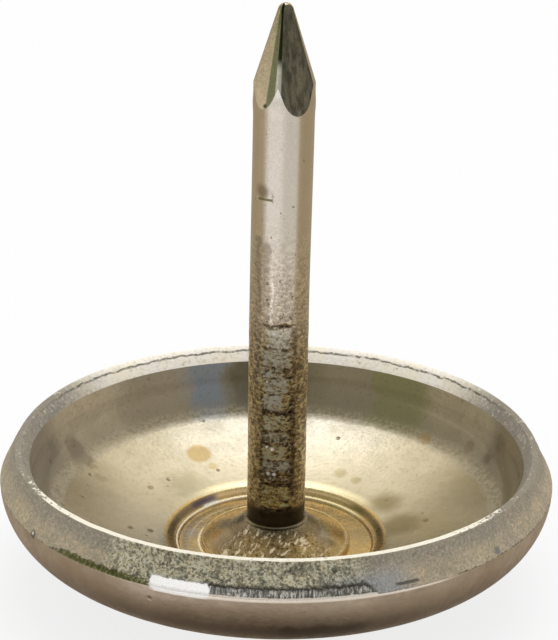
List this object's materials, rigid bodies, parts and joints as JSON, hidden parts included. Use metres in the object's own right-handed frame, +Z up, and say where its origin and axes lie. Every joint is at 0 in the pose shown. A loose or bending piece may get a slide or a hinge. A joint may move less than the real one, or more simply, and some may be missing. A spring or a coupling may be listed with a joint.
{
  "type": "nail-on furniture glide",
  "caption": "Domed pressed-steel furniture foot with a bevelled rim and a pointed nail standing up from its middle, driven into the underside of a wooden leg.",
  "frame": {"origin": "on the nail's axis at the bottom of the dish, where the glide stands on the floor", "axes": "+Z up along the nail towards its point, +Y away from the picture's camera, +X to its right"},
  "size_m": [0.022, 0.022, 0.0231],
  "materials": {
    "plated_sheet": "worn nickel plate, warm grey, satin",
    "plated_nail": "worn nickel plate, warm grey, semi-bright with brown tarnish low down"
  },
  "bodies": {
    "root": {"dish": "plated_sheet", "nail": "plated_nail"}
  },
  "joints": []
}
